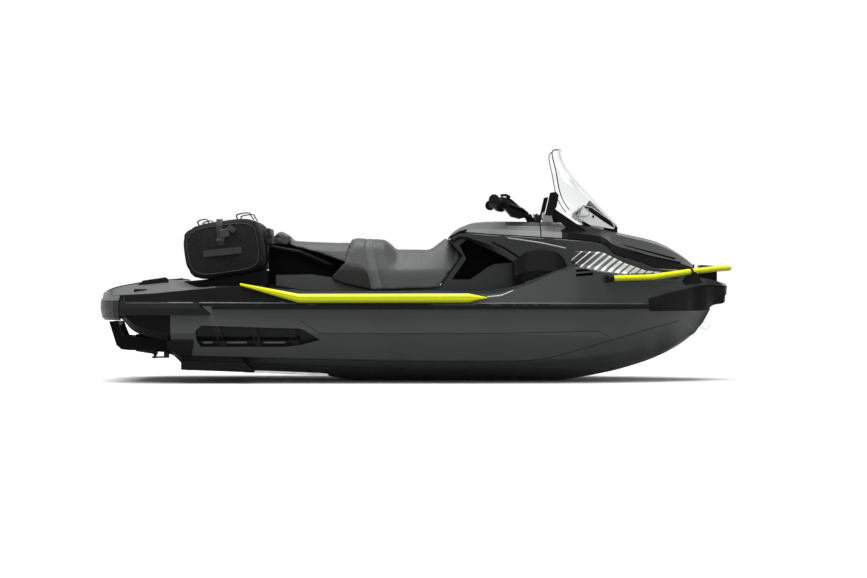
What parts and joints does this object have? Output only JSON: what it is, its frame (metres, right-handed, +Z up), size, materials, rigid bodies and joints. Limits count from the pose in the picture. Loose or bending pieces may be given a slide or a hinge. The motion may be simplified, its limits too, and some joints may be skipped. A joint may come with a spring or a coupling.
{
  "type": "three-place personal watercraft",
  "caption": "Sit-astride touring personal watercraft with jet pump, tilting front hood, windshield, boarding ladder and a soft cargo bag on a rear rack.",
  "frame": {"origin": "in the water plane at rest, on the centreline, amidships (half the overall length)", "axes": "+X towards the bow, +Y to port, +Z up"},
  "size_m": [3.4319, 1.254, 1.2624],
  "materials": {
    "shell_black": "deep black gloss gelcoat",
    "shell_grey": "dark grey moulded deck",
    "trim_black": "grained black plastic",
    "trim_grey": "grained mid grey plastic",
    "lime": "bright lime",
    "mat": "ribbed closed-cell foam mat",
    "vinyl": "marine vinyl over foam",
    "bag_cloth": "coated woven cloth",
    "cast": "cast aluminium",
    "stainless": "stainless steel",
    "clear": "clear acrylic sheet",
    "rubber": "soft rubber",
    "engine": "painted casting"
  },
  "bodies": {
    "craft": {"hull": "shell_black", "deck": "shell_grey", "stern_cap": "trim_grey", "stern_skirts": "shell_black", "stern_rails": "trim_grey", "transom_fittings": "stainless", "platform_mat": "mat", "stern_cleats": "trim_black", "sponsons": "trim_black", "hull_vents": "trim_black", "rub_rail": "rubber", "bow_bumper": "trim_black", "side_trim": "lime", "footwell_mats": "mat", "pump_housing": "cast", "ride_plate": "cast", "intake_grate": "cast", "engine_block": "engine", "storage_bin": "trim_black", "seat_base": "trim_black", "seat_front": "vinyl", "seat_rear": "vinyl", "grab_rail": "trim_black", "cargo_rack": "trim_black", "cargo_bag": "bag_cloth", "dash": "shell_grey", "centre_body": "shell_grey", "cowl": "shell_grey", "side_pods": "trim_black", "bow_hoop": "lime", "hoop_mounts": "trim_black", "bow_eye": "stainless"},
    "hood": {"hood": "shell_grey", "console": "trim_black", "windshield": "clear", "screen_mount": "trim_black", "mirrors": "trim_black"},
    "helm": {"handlebar": "trim_black", "grips": "rubber", "helm_pad": "trim_black"},
    "lid": {"glovebox_lid": "shell_grey"},
    "nozzle": {"steering_nozzle": "cast"},
    "bucket": {"reverse_bucket": "cast"},
    "impeller": {"impeller": "stainless"},
    "ladder": {"boarding_ladder": "trim_black"}
  },
  "joints": [
    {"name": "hood_tilt", "type": "hinge", "parent": "craft", "child": "hood", "pos_m": [1.51, 0, 0.368], "axis": [0, 1, 0], "range_deg": [0, 45]},
    {"name": "lid_tilt", "type": "hinge", "parent": "craft", "child": "lid", "pos_m": [0.404, 0, 0.598], "axis": [0, 1, 0], "range_deg": [0, 45]},
    {"name": "helm_steer", "type": "hinge", "parent": "craft", "child": "helm", "pos_m": [0.59, 0, 0.67], "axis": [-0.4472, 0, 0.8944], "range_deg": [-22, 22]},
    {"name": "nozzle_steer", "type": "hinge", "parent": "craft", "child": "nozzle", "pos_m": [-1.446, 0, -0.055], "axis": [0, 0, 1], "range_deg": [-18, 18]},
    {"name": "bucket_drop", "type": "hinge", "parent": "craft", "child": "bucket", "pos_m": [-1.43, 0, -0.045], "axis": [0, -1, 0], "range_deg": [0, 55]},
    {"name": "impeller_spin", "type": "hinge", "parent": "craft", "child": "impeller", "pos_m": [-1.14, 0, -0.055], "axis": [1, 0, 0], "continuous": true},
    {"name": "ladder_drop", "type": "hinge", "parent": "craft", "child": "ladder", "pos_m": [-1.368, 0, -0.06], "axis": [0, -1, 0], "range_deg": [0, 95], "stiffness_Nm_per_rad": 12, "springref_deg": -68.75}
  ],
  "couplings": [
    {"joint": "nozzle_steer", "follows": "helm_steer", "ratio": -0.8}
  ]
}
